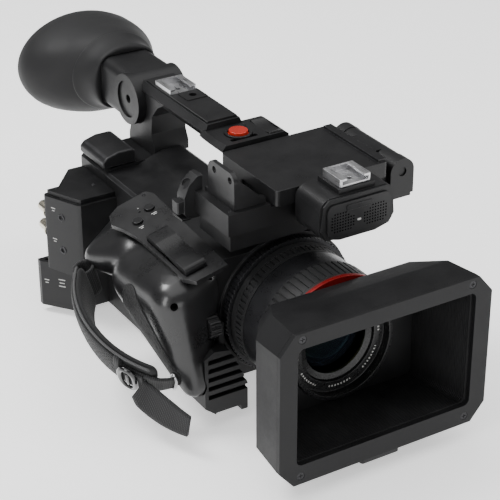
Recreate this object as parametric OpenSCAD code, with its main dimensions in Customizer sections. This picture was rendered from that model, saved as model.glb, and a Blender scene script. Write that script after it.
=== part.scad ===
// Handheld broadcast camcorder: zoom lens with wide hood, top handle with folding
// screen and front microphone, tilting eyepiece, right-hand grip with strap.
// Origin: tripod thread centre on the base plane. Lens looks along -Y, +Z is up,
// the hand grip is on the -X side and the folding screen opens towards +X.

/* [Overall] */
// Height of the optical axis above the base plane
axis_h = 66; // [62:1:74]
// Distance from the hood front to the tripod thread
tripod_y = 160; // [140:1:190]

/* [Lens] */
// Filter thread diameter
filter_d = 67; // [62:1:72]
// Radius of the fixed lens barrel
barrel_r = 41; // [39:0.5:42]
// Number of coarse ribs on the focus ring
focus_ribs = 60; // [36:2:72]
// Number of ribs on the zoom ring
zoom_ribs = 72; // [48:2:90]
// Number of fine ribs on the iris ring
iris_ribs = 96; // [60:2:120]

/* [Hood] */
// Outer width of the hood front
hood_w = 150; // [130:1:160]
// Outer height of the hood front
hood_h = 103; // [92:1:112]
// Length of the hood
hood_l = 50; // [40:1:60]
// Number of steps in the light baffle
baffles = 18; // [8:1:24]

/* [Handle and screen] */
// Width of the handle bar
handle_w = 29; // [24:1:34]
// Height of the handle top above the optical axis
handle_z = 97; // [90:1:104]
// Width of the folding screen
lcd_w = 82.5; // [76:0.5:90]
// Depth of the folding screen
lcd_d = 66; // [60:1:70]
// Thickness of the folding screen
lcd_t = 10.5; // [8:0.5:12]

/* [Eyepiece] */
// Width of the eyecup opening
cup_w = 103; // [80:1:116]
// Height of the eyecup opening
cup_h = 73; // [60:1:86]
// Length of the eyepiece tube
evf_l = 62; // [50:1:72]

/* [Grip] */
// Strap pad width
strap_w = 44; // [36:1:50]

/* [Hidden] */
$fn = 64;
e = 0.01;
fr = filter_d / 2;
ec = 1.5;

module L() translate([0, -tripod_y, axis_h]) children();
module rr(w, h, r) {
  square([w - 2 * r, h], center = true);
  square([w, h - 2 * r], center = true);
  for (i = [-1, 1], j = [-1, 1]) translate([i * (w / 2 - r), j * (h / 2 - r)]) circle(r);
}
module bx(x0, x1, y0, y1, z0, z1) translate([x0, y0, z0]) cube([x1 - x0, y1 - y0, z1 - z0]);
module rxz(x0, x1, y0, y1, z0, z1, r) translate([(x0 + x1) / 2, y1, (z0 + z1) / 2]) rotate([90, 0, 0]) linear_extrude(y1 - y0) rr(x1 - x0, z1 - z0, r);
module rxy(x0, x1, y0, y1, z0, z1, r) translate([(x0 + x1) / 2, (y0 + y1) / 2, z0]) linear_extrude(z1 - z0) rr(x1 - x0, y1 - y0, r);
module ryz(x0, x1, y0, y1, z0, z1, r) translate([x0, (y0 + y1) / 2, (z0 + z1) / 2]) rotate([90, 0, 90]) linear_extrude(x1 - x0) rr(y1 - y0, z1 - z0, r);
module cy(x, z, y0, y1, r) translate([x, y1, z]) rotate([90, 0, 0]) cylinder(r = r, h = y1 - y0);
module cx(y, z, x0, x1, r) translate([x0, y, z]) rotate([0, 90, 0]) cylinder(r = r, h = x1 - x0);
module cz(x, y, z0, z1, r) translate([x, y, z0]) cylinder(r = r, h = z1 - z0);
module prof_y(y0, y1) translate([0, y1, 0]) rotate([90, 0, 0]) linear_extrude(y1 - y0) children();
module turn_y() rotate([-90, 0, 0]) rotate_extrude() children();

// ---- main body ----
module shell_sec(t) polygon([[-50 + t, -62 - t / 10], [46 - t, -62 - t / 10], [46 - t, 8 - t / 3], [12 - t / 2, 46 - t], [8 - t / 2, 49 - t], [-6 + t / 2, 49 - t], [-16 + t / 2, 46 - t], [-26, 42 - t], [-48 + t / 2, 42 - t], [-50 + t, 40 - t]]);
module main_shell() color([0.06, 0.06, 0.065]) L() difference() {
  union() {
    prof_y(114, 262) shell_sec(0);
    cy(0, 0, 112.6, 116, 48.5);
  }
  prof_y(117, 262 + e) shell_sec(3);
  bx(-46, 42, 151, 262 + e, -70, -60);
  translate([-80, 114, -62.2]) rotate([90, 0, 90]) linear_extrude(160) polygon([[-5, -10], [-5, 16], [0, 16], [36, 0], [36, -10]]);
  cy(0, 0, 112, 118, barrel_r);
  cx(228, -12, 40, 50, 2.55);
  cx(150, -3, 40, 50, 2.05);
  cx(180, -3, 40, 50, 2.05);
}
module base_plate() color([0.12, 0.12, 0.125]) L() difference() {
  union() {
    rxy(-46, 43, 146, 298, -66, -62.1, 8);
    cz(0, tripod_y, -62.5, -57, 8);
    cz(0, tripod_y + 22, -62.5, -57, 9);
    cz(0, tripod_y + 38, -62.5, -57, 5);
  }
  cz(0, tripod_y, -67, -56, 2.65);
  cz(0, tripod_y + 22, -67, -56, 4.0);
  cz(0, tripod_y + 38, -67, -59, 2.3);
}
module rear_sec(t) polygon([[-50 + t, -62 - t / 10], [46 - t, -62 - t / 10], [46 - t, 8 - t / 3], [12 - t / 2, 45 - t], [-46 + t, 44 - t], [-50 + t, 40 - t]]);
module rear_housing() color([0.055, 0.055, 0.06]) L() difference() {
  prof_y(262.1, 300) rear_sec(0);
  prof_y(262, 276) rear_sec(3);
  bx(-46, 42, 261, 276, -70, -60);
  rxz(-22, 34, 279, 301, -52, 20, 4);
  rxz(-44, -28, 294, 301, -48, -8, 3);
  rxz(36, 44, 270, 301, -48, 0, 2);
  cx(300.6, -47.6, 36.6, 43.4, 1);
  cy(-36, 12, 294, 301, 4.2);
  cy(-36, 26, 290, 301, 2.6);
}
module jack_block() color([0.06, 0.06, 0.065]) L() difference() {
  union() {
    translate([0, 0, -26]) linear_extrude(56) polygon([[-50.1, 247], [-77, 247], [-79, 249], [-90.5, 274], [-90.5, 276], [-89, 278], [-79.5, 278], [-62, 299], [-50.1, 299]]);
    translate([0, 0, 29.9]) linear_extrude(3.6) polygon([[-50.1, 249], [-76, 249], [-77, 250], [-88, 274], [-88, 276], [-79.5, 276], [-62, 297], [-50.1, 297]]);
    translate([0, 0, -61]) linear_extrude(35.1) polygon([[-50.1, 266], [-76, 266], [-92, 287], [-92, 291], [-50.1, 291]]);
  }
  translate([0, 0, -23]) linear_extrude(52) polygon([[-50, 250], [-75.5, 250], [-87, 274], [-87, 275], [-80, 275], [-62, 296], [-50, 296]]);
  translate([0, 0, -58]) linear_extrude(36) polygon([[-50, 269], [-74.5, 269], [-89, 288], [-50, 288]]);
  for (z = [15, 1]) cy(-85.5, z, 274, 280, 3.9);
  for (z = [17, -8]) translate([-84.5, 262, z]) rotate([0, -90, 22]) cylinder(r = 2.3, h = 4);
}
module rear_hump() color([0.07, 0.07, 0.075]) L() difference() {
  prof_y(261, 297) polygon([[-52, 45.1], [-27, 45.1], [-27, 54], [-29, 55.5], [-40, 55.5], [-49, 53], [-52, 50]]);
  prof_y(264, 294) polygon([[-49, 45], [-30, 45], [-30, 53], [-40, 53], [-49, 50]]);
}
module side_panel() color([0.08, 0.08, 0.085]) L() difference() {
  ryz(46.05, 49, 128, 256, -54, 6, 6);
  cx(228, -12, 45, 50, 11);
  cx(150, -3, 45, 50, 5.4);
  cx(180, -3, 45, 50, 5.4);
  for (i = [0:4]) ryz(48.2, 50, 138 + i * 13, 147 + i * 13, -20, -15, 2);
  for (i = [0:3]) cx(142 + i * 13, -30, 48, 50, 3.4);
  ryz(47.4, 50, 212, 250, -50, -32, 3);
  for (i = [0:5]) ryz(47, 50, 190, 206, -30.6 - i * 3.4, -29 - i * 3.4, 0.7);
}
module sensor_block() color([0.3, 0.32, 0.34]) L() {
  rxz(-20, 20, 119, 124, -16, 16, 2);
  bx(-13, 13, 124, 128, -10, 10);
}
module main_board() color([0.08, 0.3, 0.16]) L() {
  difference() {
    bx(-40, 38, 135, 245, -46, -44.4);
    for (x = [-35, 33], y = [140, 240]) cz(x, y, -50, -40, 1.6);
  }
  bx(-12, -4, 236, 256, -44.5, -42.5);
  bx(-12, -4, 246, 256, -43, -35.5);
  difference() { rxz(-28, 12, 246, 256, -36, 4, 3); cy(-8, -16, 245, 257, 17.5); }
  cy(-8, -16, 254.3, 256, 6);
  cy(-8, -16, 247.2, 254.4, 1.5);
  for (a = [45:90:359]) translate([-8, 0, -16]) rotate([0, a, 0]) bx(5, 18, 254.8, 256, -0.8, 0.8);
}
module cooling_fan() color([0.2, 0.2, 0.21]) L() difference() {
  union() {
    cy(-8, -16, 247, 253.8, 6);
    for (a = [0:51.43:359]) translate([-8, 0, -16]) rotate([0, a, 0]) bx(5.5, 16.5, 248, 253.4, -0.6, 0.6);
  }
  cy(-8, -16, 246, 255, 1.55);
}
module battery() color([0.09, 0.09, 0.095]) L() difference() {
  union() { rxz(-21, 33, 279.4, 322, -51, 19, 4); rxz(-19, 31, 321.9, 324, -49, 17, 3); }
  for (z = [10, 4, -2]) rxz(-10, 22, 323, 325, z, z + 2, 0.9);
}
module battery_latch() color([0.1, 0.1, 0.105]) L() {
  rxz(-43.4, -28.6, 296, 301.5, -22, -10, 2.5);
  for (i = [0:3]) bx(-41, -31, 301.4, 302.3, -20 + i * 2.6, -18.8 + i * 2.6);
}
module power_switch() color([0.12, 0.12, 0.125]) L() {
  cy(-36, 12, 294.2, 302.5, 3.9);
  rxz(-38, -34, 302.4, 304, 6.5, 17.5, 1.5);
}
module card_door() color([0.075, 0.075, 0.08]) L() {
  difference() {
    rxz(36.4, 43.6, 297, 300.6, -47.6, -0.4, 1.6);
    rxz(41, 42.6, 299.8, 301, -28, -20, 0.7);
    bx(36, 44, 296, 300, -48, -43.5);
  }
  cx(300.6, -47.6, 37.2, 42.8, 0.95);
}

// ---- grip ----
module grip_shape(d) {
  hull() {
    translate([-58, 126, 24]) sphere(r = 17 - d, $fn = 32);
    translate([-75, 122, 18]) sphere(r = 18 - d, $fn = 32);
    translate([-73, 110, -18]) sphere(r = 13 - d, $fn = 32);
    translate([-72, 104, -34]) sphere(r = 9 - d, $fn = 32);
    translate([-76, 166, 14]) sphere(r = 18 - d, $fn = 32);
    translate([-72, 146, -6]) sphere(r = 16 - d, $fn = 32);
    translate([-58, 176, 24]) sphere(r = 17 - d, $fn = 32);
  }
  hull() {
    translate([-70, 180, 20]) sphere(r = 17 - d, $fn = 32);
    translate([-62, 196, 26]) sphere(r = 16 - d, $fn = 32);
    translate([-86, 206, 14]) sphere(r = 9 - d, $fn = 32);
    translate([-60, 214, 20]) sphere(r = 14 - d, $fn = 32);
  }
}
module deck_place() translate([-48, 104, 43.8]) rotate([4, -13.5, 0]) children();
module grip_shell() color([0.03, 0.03, 0.035]) L() difference() {
  grip_shape(0);
  intersection() { grip_shape(2.6); bx(-130, -52.5, 80, 260, -80, 60); }
  bx(-50.1, 0, 60, 270, -90, 90);
  deck_place() bx(-90, 40, -40, 160, -3, 60);
  translate([-80, 112, 23]) rotate([90, 0, -35]) cylinder(r = 2.4, h = 24, center = true);
  cx(105.5, 2.5, -62.4, -40, 7.7);
}
module grip_deck() color([0.07, 0.07, 0.075]) L() difference() {
  intersection() {
    deck_place() translate([0, 0, -3]) linear_extrude(3) polygon([[1, 0], [4, 97], [1, 103], [-21, 102], [-30, 97], [-33.5, 88], [-30, 78], [-28, 68], [-27, 60], [-27, 8], [-22, 0]]);
    union() { bx(-120, -50.1, 80, 240, 0, 80); bx(-51, -41.5, 80, 240, 42.1, 80); }
  }
  deck_place() rxy(-24.4, -8.6, 8, 58, -6, 4, 1);
  deck_place() cz(-6.4, 85, -6, 4, 3.6);
  deck_place() cz(-19, 78, -6, 4, 3.6);
  deck_place() cz(-13, 86, -0.6, 4, 0.9);
}
module grip_pad() color([0.05, 0.05, 0.05]) L() difference() {
  intersection() {
    grip_shape(-1.2);
    hull() {
      translate([-96, 146, 14]) rotate([0, 90, 0]) cylinder(r = 9, h = 66, center = true);
      translate([-96, 112, -26]) rotate([0, 90, 0]) cylinder(r = 9, h = 66, center = true);
      translate([-96, 150, -10]) rotate([0, 90, 0]) cylinder(r = 13, h = 66, center = true);
    }
    bx(-130, -65, 80, 200, -70, 40);
  }
  grip_shape(-0.005);
  deck_place() bx(-90, 40, -40, 160, -5, 60);
}
module audio_pod() color([0.1, 0.1, 0.105]) L() difference() {
  union() {
    prof_y(96, 113.5) polygon([[-69, -50], [-58, -59], [-38, -59], [-38, -40], [-46, -20], [-51, -12], [-62, -10], [-69, -14]]);
    bx(-54, -50.5, 104, 113.5, -14, 4);
    cx(105.5, 2.5, -61, -50.5, 1.5);
  }
  for (i = [0:4]) bx(-66.5, -45 - i * 1.2 + 8 , 94, 99, -44 + i * 6.4, -40.6 + i * 6.4);
  translate([-52, 99, -60]) rotate([60, 0, 0]) cylinder(r = 9.4, h = 10, center = true);
  grip_shape(-0.15);
}
module bnc_jacks() color([0.7, 0.68, 0.62]) L() for (z = [15, 1]) {
  difference() {
    union() { cy(-85.5, z, 274.5, 290.5, 3.85); cy(-85.5, z, 278.05, 279.4, 5.2); }
    cy(-85.5, z, 281, 291, 3.1);
  }
  cy(-85.5, z, 280.9, 289, 0.8);
}
// ---- strap ----
module strap_plane() translate([-48, 158.6, -13]) rotate([19, 0, 0]) children();
module strap_arc(a0, a1, r, t, w, tilt) rotate([0, 0, a0]) rotate_extrude(angle = a1 - a0) translate([r, 0]) rotate(-tilt) translate([0, -w / 2]) square([t, w]);
module strap_pad() color([0.09, 0.09, 0.09]) L() strap_plane() strap_arc(140, 224, 62, 7, strap_w - 8, 22);
module strap_web() color([0.07, 0.07, 0.07]) L() {
  strap_plane() strap_arc(130, 236, 69.62, 1.8, 22, 22);
  translate([-103, 118, -36]) rotate([0, 0, 18.4]) rotate([90, 0, 90]) linear_extrude(1.6) polygon([[1.4, -9], [1.4, 3], [-3, 7.4], [-20, 3], [-41, -3], [-42, -10], [-14, -19]]);
}
module strap_hardware() color([0.05, 0.05, 0.055]) L() strap_plane() {
  rotate([0, 0, 212]) translate([70.2, 0, -2]) rotate([0, 22, 0]) difference() {
    translate([2.6, 0, 0]) rotate([0, 90, 0]) linear_extrude(2.4) rr(30, 15, 3);
    for (s = [-1, 1]) translate([3, s * 3.6, 0]) cube([8, 2.4, 23], center = true);
  }
}
// ---- handle ----
module handle() color([0.05, 0.05, 0.055]) L() difference() {
  union() {
    prof_y(190, 288) polygon([[-13, 90], [-10.5, handle_z - 1.2], [13.5, handle_z - 1.2], [16, 90], [11, 83], [-8, 83]]);
    translate([-12, 0, 0]) rotate([90, 0, 90]) linear_extrude(27) polygon([[244, 90], [288, 92], [290, 72], [299, 50], [299, 45.1], [262.1, 45.1], [262.1, 52], [266, 60], [264, 74], [256, 83]]);
    cx(290, 79, -6, 9, 11);
    bx(-6, 9, 268, 289.9, 66, 77);
    bx(-10, 15, 172, 191, 84.5, 91);
  }
  difference() {
    union() { cx(290, 79, -30, 30, 18.4); for (t = [0, 60.5]) translate([-30, 290, 79]) rotate([t, 0, 0]) translate([0, 0, -18.4]) cube([60, 60, 36.8]); }
    bx(-6, 9, 240, 289.9, 60, 77);
    cx(290, 79, -6, 9, 11);
  }
  cx(290, 79, -30, 30, 3);
  bx(-9.6, 12.6, 192, 275, handle_z - 3.2, handle_z + 4);
  ryz(-40, 40, 190.5, 248, 60, 82.9, 8);
  cz(4, 176, 89.5, 92, 9.6);
}
module handle_plate() color([0.08, 0.08, 0.085]) L() difference() {
  union() {
    bx(-9.5, 12.5, 192.1, 274, handle_z - 3.2, handle_z);
    rxy(-4, 12, 228, 242, handle_z - e, handle_z + 0.6, 1);
  }
  cz(4, 235, handle_z - 5, handle_z + 2, 2.65);
  rxy(-9, 12, 243, 265, handle_z - 2.2, handle_z + 2, 1);
}
module shoe_rear() color([0.75, 0.75, 0.76]) L() translate([1.5, 254, handle_z - 2.15]) shoe(20.5, 21);
module shoe(w, l) {
  difference() {
    rxy(-w / 2, w / 2, -l / 2, l / 2, 0, 5.2, 1);
    bx(-9.4, 9.4, -l / 2 - 1, l / 2 - 1.5, 1.5, 3.9);
    bx(-6.3, 6.3, -l / 2 - 1, l / 2 - 1.5, 3.5, 6);
    cz(0, -3, -1, 2, 1.6);
  }
}
module handle_front() color([0.065, 0.065, 0.07]) L() difference() {
  union() {
    bx(-50, 66, 98, 138, 66, 78.5);
    bx(-4, 66, 137, 168, 66, 78.5);
    bx(-47, 62, 101, 138, 54, 66.1);
    bx(8, 62, 137, 166, 54, 66.1);
    prof_y(118, 188) polygon([[2, 49.1], [8, 49.1], [12.1, 46.2], [22, 35.2], [34, 54], [34, 70], [8, 70], [4, 60]]);
    prof_y(162.6, 191.9) polygon([[8, 66], [34, 66], [34, 90], [31, 92], [-13, 92], [-16, 89], [-12, 84.5], [6, 80]]);
    bx(-50, -20.2, 98, 138, 78.4, 80.5);
    rxz(0, 42, 92.7, 98.1, 64, 78, 4);
  }
  bx(-10.05, 15.05, 171.95, 192, 84.45, 91.05);
  prof_y(189.9, 192) polygon([[-13.1, 90], [-10.6, 96], [13.6, 96], [16.1, 90], [11.1, 50], [-8.1, 50]]);
  rxy(-6.4, 13.4, 166.4, 169.9, 88.2, 93, 1.2);
  cz(4, 176, 84, 93, 9.4);
  rxy(20, 31.4, 164, 189.4, 82, 93, 2);
  bx(-44, 60, 104, 134, 57, 64);
  bx(12, 30, 139, 186, 56, 80);
  cz(27, 127, 77.6, 80, 12);
}
module rec_button() color([0.75, 0.12, 0.03]) L() { cz(4, 176, 91.15, 94.4, 6.2); cz(4, 176, 91.1, 92, 6.9); }
module rec_lock() color([0.12, 0.12, 0.125]) L() difference() {
  union() { cz(4, 176, 91.1, 93, 9.0); translate([4, 176, 92.2]) rotate([0, 0, 45]) bx(6, 11.4, -2, 2, 0, 1.6); }
  cz(4, 176, 90, 95, 7.2);
}
module handle_rocker() color([0.1, 0.1, 0.105]) L() {
  difference() {
    ryz(20.6, 30.8, 164.8, 188.6, 86.5, 93.6, 3);
    translate([20, 176.7, 130]) rotate([0, 90, 0]) cylinder(r = 39, h = 12);
    for (s = [-1, 1]) bx(19, 32, 176.7 + s * 14 - 5, 176.7 + s * 14 + 5, 84, 89);
  }
  cx(176.7, 87.6, 20.2, 31.2, 1.2);
}
module hinge_base() color([0.06, 0.06, 0.065]) L() difference() {
  union() {
    bx(66.1, 82, 94, 160, 62, 70.5);
    for (y = [94, 151.2]) { cy(75, 80, y, y + 8.8, 9); bx(66.1, 84, y, y + 8.8, 64, 80); }
  }
  cy(75, 80, 90, 170, 3.05);
  cy(75, 80, 102.79, 151.21, 9.4);
}
module lcd_arm() color([0.07, 0.07, 0.075]) L() difference() {
  union() {
    cy(75, 80, 103.2, 150.8, 8.6);
    cy(75, 80, 95, 159, 3.0);
    bx(66.4, 75, 114, 140, 80.5, 88.4);
  }
  cx(127, 84.75, 60, 74, 3.05);
}
module lcd_panel() color([0.08, 0.08, 0.085]) L() difference() {
  union() {
    rxy(-18.5, 64, 94, 160, 79.5, 79.5 + lcd_t, 3);
    bx(57.5, 63.6, 96, 158, 89.9, 91.6);
    cx(127, 84.75, 63.5, 73.5, 3.0);
  }
  rxy(-11, 52, 100, 154, 79.4, 80.7, 2);
  bx(-19, -17.5, 120, 134, 79, 82);
}
module lcd_glass() color([0.02, 0.02, 0.03]) L() rxy(-10.9, 51.9, 100.1, 153.9, 79.6, 80.7, 1.9);
module mic_unit() color([0.06, 0.06, 0.065]) L() difference() {
  union() {
    rxz(-6, 48, 66, 92.6, 64, 92, 8);
    bx(9, 35, 68, 91, 91, 95);
    prof_y(64.6, 68) polygon([[-2, 66], [8, 63.4], [34, 63.4], [44, 66], [47.6, 72], [46, 88], [42, 91.6], [0, 91.6], [-4, 88], [-5.6, 72]]);
  }
  rxz(-2, 44, 63, 70, 67, 88.5, 5);
  cz(44, 86, 90, 93, 1.2);
}
module mic_grille() color([0.1, 0.1, 0.105]) L() difference() {
  union() { rxz(-1.9, 43.9, 63.2, 65.6, 67.1, 88.4, 4.9); rxz(8, 35, 62.7, 63.4, 80, 87, 1.5); }
  for (s = [0, 1], i = [0:6], j = [0:3]) cy(1.5 + s * 25.2 + i * 2.6, 70.2 + j * 2.6, 62, 67, 0.75);
  rxz(19.2, 22.8, 62.6, 63.9, 72.6, 74.6, 0.8);
}
module shoe_front() color([0.75, 0.75, 0.76]) L() translate([22, 79.5, 95.1]) shoe(22, 20);
module mic_bracket() color([0.07, 0.07, 0.075]) L() difference() {
  union() {
    ryz(-44, -41, 101, 132, 80.55, 104, 6);
    bx(-44, -41, 101, 132, 80.55, 88);
    translate([0, 104, 0]) rotate([90, 0, 0]) linear_extrude(3) polygon([[-41.5, 80.55], [-22, 80.55], [-22, 85], [-26, 86.5], [-41.5, 101]]);
    bx(-44, -36, 101, 136, 80.55, 83);
  }
  cx(106, 99, -45, -40, 2.2);
  cx(124.5, 99, -45, -40, 2.2);
}
module cable_clamp() color([0.3, 0.3, 0.31]) L() difference() {
  union() {
    prof_y(138.05, 147.5) polygon([[-44.5, 62], [-55, 62], [-57.5, 66], [-57.5, 77], [-54, 85], [-48, 90], [-44.5, 90]]);
    rxy(-62, -57, 138.8, 146.6, 66.5, 74.5, 1.2);
    bx(-58, -57, 139.5, 146, 67, 74);
    bx(-60, -54, 137, 149, 62, 63.5);
  }
  translate([-53.6, 142.8, 84.6]) rotate([0, -49, 0]) translate([0, 0, -1.2]) cylinder(r = 3.6, h = 6);
}
// ---- eyepiece ----
module evf_tube() color([0.06, 0.06, 0.065]) L() difference() {
  union() {
    rxz(-18, 21, 290, 268 + evf_l, 61, 97, 7);
    cx(290, 79, -18, 21, 18);
  }
  difference() {
    bx(-6.5, 9.5, 260, 290.3, 50, 110);
    translate([-7, 0, 0]) rotate([90, 0, 90]) linear_extrude(18) polygon([[290.4, 79], [290.4, 119], [266, 117.4]]);
  }
  cx(290, 79, -6.5, 9.5, 11.4);
  rxz(-13, 16, 308, 269 + evf_l, 65, 93, 5);
  cx(290, 79, -19, 22, 3.05);
  cx(290, 79, -19, -16.5, 13);
}
module evf_optics() color([0.3, 0.34, 0.4]) L() {
  rxz(-12.9, 15.9, 308.1, 310, 65.1, 92.9, 4.9);
  cy(1.5, 79, 318, 324, 13.5);
}
module diopter_lever() color([0.12, 0.12, 0.125]) L() { cx(314, 68, 21.05, 23.4, 4.5); bx(23.3, 25, 312.8, 315.2, 63, 73); }
module oval(x, y, z, w, h, l) translate([x, y, z]) rotate([-90, 0, 0]) scale([w, h, 1]) cylinder(r = 1, h = l, $fn = 32);
module eyecup() color([0.03, 0.03, 0.03]) L() difference() {
  union() {
    hull() { oval(1.5, 326, 79, 26, 24, 3); oval(0, 343, 78, 33, 29, 2); }
    hull() { oval(0, 344, 78, 33, 29, 1); oval(-3, 360, 75, cup_w / 2 - 7, cup_h / 2 - 3, 1); oval(-5, 378, 73.5, cup_w / 2, cup_h / 2, 2); oval(-5, 392, 73.5, cup_w / 2 - 3, cup_h / 2 - 2, 2); }
  }
  hull() { oval(1.5, 329, 79, 20, 18.5, 1); oval(0, 344, 78, 30, 26, 1); }
  hull() { oval(0, 344, 78, 30, 26, 1); oval(-5, 378, 73.5, cup_w / 2 - 3, cup_h / 2 - 3, 2); oval(-5, 394, 73.5, cup_w / 2 - 5.5, cup_h / 2 - 4.5, 1); }
  rxz(-18.05, 21.05, 320, 332, 60.95, 97.05, 7);
}
// ---- lens ----
module ribbed(r, y0, y1, n, w, d) difference() {
  cy(0, 0, y0, y1, r);
  for (i = [0:n - 1]) rotate([0, i * 360 / n, 0]) bx(r - d, r + 2, y0 - 1, y1 + 1, -w / 2, w / 2);
}
module lens_barrel() color([0.05, 0.05, 0.055]) L() difference() {
  union() {
    cy(0, 0, 56.1, 116.9, barrel_r - 0.05);
    cy(0, 0, 76.4, 92.6, 43.2);
  }
  cy(0, 0, 55, 108, 31);
  cy(0, 0, 107, 118, 20);
}
module focus_ring() color([0.05, 0.05, 0.05]) L() difference() {
  union() { ribbed(44.2, 59, 75.9, focus_ribs, 1.5, 1.1); cy(0, 0, 56.6, 59.1, 44.0); }
  cy(0, 0, 56, 77, barrel_r + 0.3);
}
module red_ring() color([0.7, 0.05, 0.04]) L() difference() {
  union() { cy(0, 0, 53.2, 56.1, 45.1); }
  cy(0, 0, 53, 56.2, 36.1);
}
module zoom_ring() color([0.05, 0.05, 0.05]) L() difference() {
  union() { ribbed(43.4, 95.6, 101.6, zoom_ribs, 1.2, 0.9); cy(0, 0, 93.1, 95.7, 43.2); cy(0, 0, 101.5, 105.9, 44); }
  cy(0, 0, 92, 107, barrel_r + 0.3);
}
module iris_ring() color([0.06, 0.06, 0.06]) L() difference() {
  ribbed(46.7, 106.5, 112.1, iris_ribs, 0.9, 0.7);
  cy(0, 0, 106, 113, barrel_r + 0.3);
}
module filter_ring() color([0.04, 0.04, 0.045]) L() turn_y() polygon([[fr, 45], [36, 45], [36, 56.1], [22, 56.1], [22, 54.5], [26, 53.4], [26.6, 51.6], [fr - 0.9, 51.2], [fr, 51]]);
module lens_glass() color([0.25, 0.2, 0.15]) L() {
  turn_y() polygon([[0, 57.5], [8, 58], [14, 59.2], [20, 61.6], [21.9, 63], [21.9, 66], [0, 66]]);
  cy(0, 0, 82, 87, 18);
}
module lens_plate() color([0.2, 0.2, 0.21]) L() difference() {
  union() { rxz(-53.6, 53.6, 48.2, 50, -37.5, 39.3, 4); cy(0, 0, 50, 53.1, 40); cy(0, 0, 49.5, 50.5, 37.4); }
  cy(0, 0, 47, 54, 36.3);
}
module hood_sec(w, h, cw, ch) polygon([[-w / 2 + cw, -h / 2], [w / 2 - cw, -h / 2], [w / 2, -h / 2 + ch], [w / 2, h / 2 - ch], [w / 2 - cw, h / 2], [-w / 2 + cw, h / 2], [-w / 2, h / 2 - ch], [-w / 2, -h / 2 + ch]]);
module hood() color([0.045, 0.045, 0.05]) L() difference() {
  hull() {
    translate([0, 0, 0.8]) prof_y(3, 3.1) hood_sec(hood_w, hood_h, 10, 12);
    translate([0, 0, 0.8]) prof_y(28, 28.1) hood_sec(hood_w - 3, hood_h - 3, 11, 13);
    translate([0, 0, 1.2]) prof_y(hood_l - 0.1, hood_l) hood_sec(116, 84, 8, 8);
  }
  for (i = [0:baffles - 1]) rxz(-62.8 + i * 9.5 / baffles, 62.8 - i * 9.5 / baffles, 2.9 + i * (hood_l - 2.8) / baffles, 3.1 + (i + 1) * (hood_l - 2.8) / baffles, -37.2 - 0.5 * i / baffles, 41.8 - 2.5 * i / baffles, 4);
  for (x = [-60, 60], z = [ec - 46.6, ec + 46.6]) cy(x, z, 2, 12, 1.5);
  rxy(-15.3, 23.3, 3.8, 13.2, -53, -47.2, 2);
}
module hood_frame() color([0.05, 0.05, 0.055]) L() difference() {
  translate([0, 0, 0.8]) prof_y(0, 3) hood_sec(hood_w, hood_h, 10, 12);
  rxz(-63, 63, -1, 4, -37.4, 42, 4);
  for (x = [-60, 60], z = [ec - 46.6, ec + 46.6]) { cy(x, z, -1, 1.2, 2.6); cy(x, z, 0, 4, 1.5); }
}
module hood_screws() color([0.35, 0.35, 0.36]) L() for (x = [-60, 60], z = [ec - 46.6, ec + 46.6]) difference() {
  union() { cy(x, z, 0.3, 1.2, 2.4); cy(x, z, 1.1, 11, 1.45); }
  translate([x, 0, z]) { bx(-1.5, 1.5, 0, 0.8, -0.3, 0.3); bx(-0.3, 0.3, 0, 0.8, -1.5, 1.5); }
}
module hood_lever() color([0.08, 0.08, 0.085]) L() {
  rxy(-15, 17, 4.1, 12.9, -50.6, -47.4, 2);
  rxy(-13, 15, 5, 12, -57.5, -50.5, 2);
}
// ---- controls ----
module grip_rocker() color([0.1, 0.1, 0.105]) L() deck_place() difference() {
  union() { ryz(-24, -9, 8.5, 57.5, -2, 4.6, 3); cx(33, 0, -24.2, -8.8, 1.2); }
  translate([-30, 33, 70]) rotate([0, 90, 0]) cylinder(r = 66.5, h = 30);
  for (s = [-1, 1]) translate([0, 33 + s * 25, -2]) rotate([-s * 8, 0, 0]) bx(-30, 0, -25, 25, -8, 0.4);
}
module deck_button_a() color([0.12, 0.12, 0.125]) L() deck_place() cz(-6.4, 85, -1.6, 1.6, 3.3);
module deck_button_b() color([0.12, 0.12, 0.125]) L() deck_place() cz(-19, 78, -1.6, 1.6, 3.3);
module thumb_dial() color([0.1, 0.1, 0.105]) L() difference() {
  cx(105.5, 2.5, -61.8, -54.5, 7);
  for (a = [0:24:359]) translate([0, 105.5, 2.5]) rotate([a, 0, 0]) translate([-70, 7.3, 0]) rotate([0, 90, 0]) cylinder(r = 1, h = 30);
  cx(105.5, 2.5, -70, -50, 1.55);
}
module nd_dial() color([0.1, 0.1, 0.105]) L() difference() {
  union() { cx(228, -12, 46.3, 54, 10.4); cx(228, -12, 40, 46.4, 2.5); }
  for (a = [0:20:359]) translate([0, 228, -12]) rotate([a, 0, 0]) bx(48, 56, 9.7, 12, -0.8, 0.8);
}
module audio_dial(y) color([0.1, 0.1, 0.105]) L() difference() {
  union() { cx(y, -3, 46.3, 51.6, 5); cx(y, -3, 40, 46.4, 2); }
  for (a = [0:30:359]) translate([0, y, -3]) rotate([a, 0, 0]) bx(47, 53, 4.6, 6, -0.5, 0.5);
}
module audio_dial_a() audio_dial(150);
module audio_dial_b() audio_dial(180);

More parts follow.
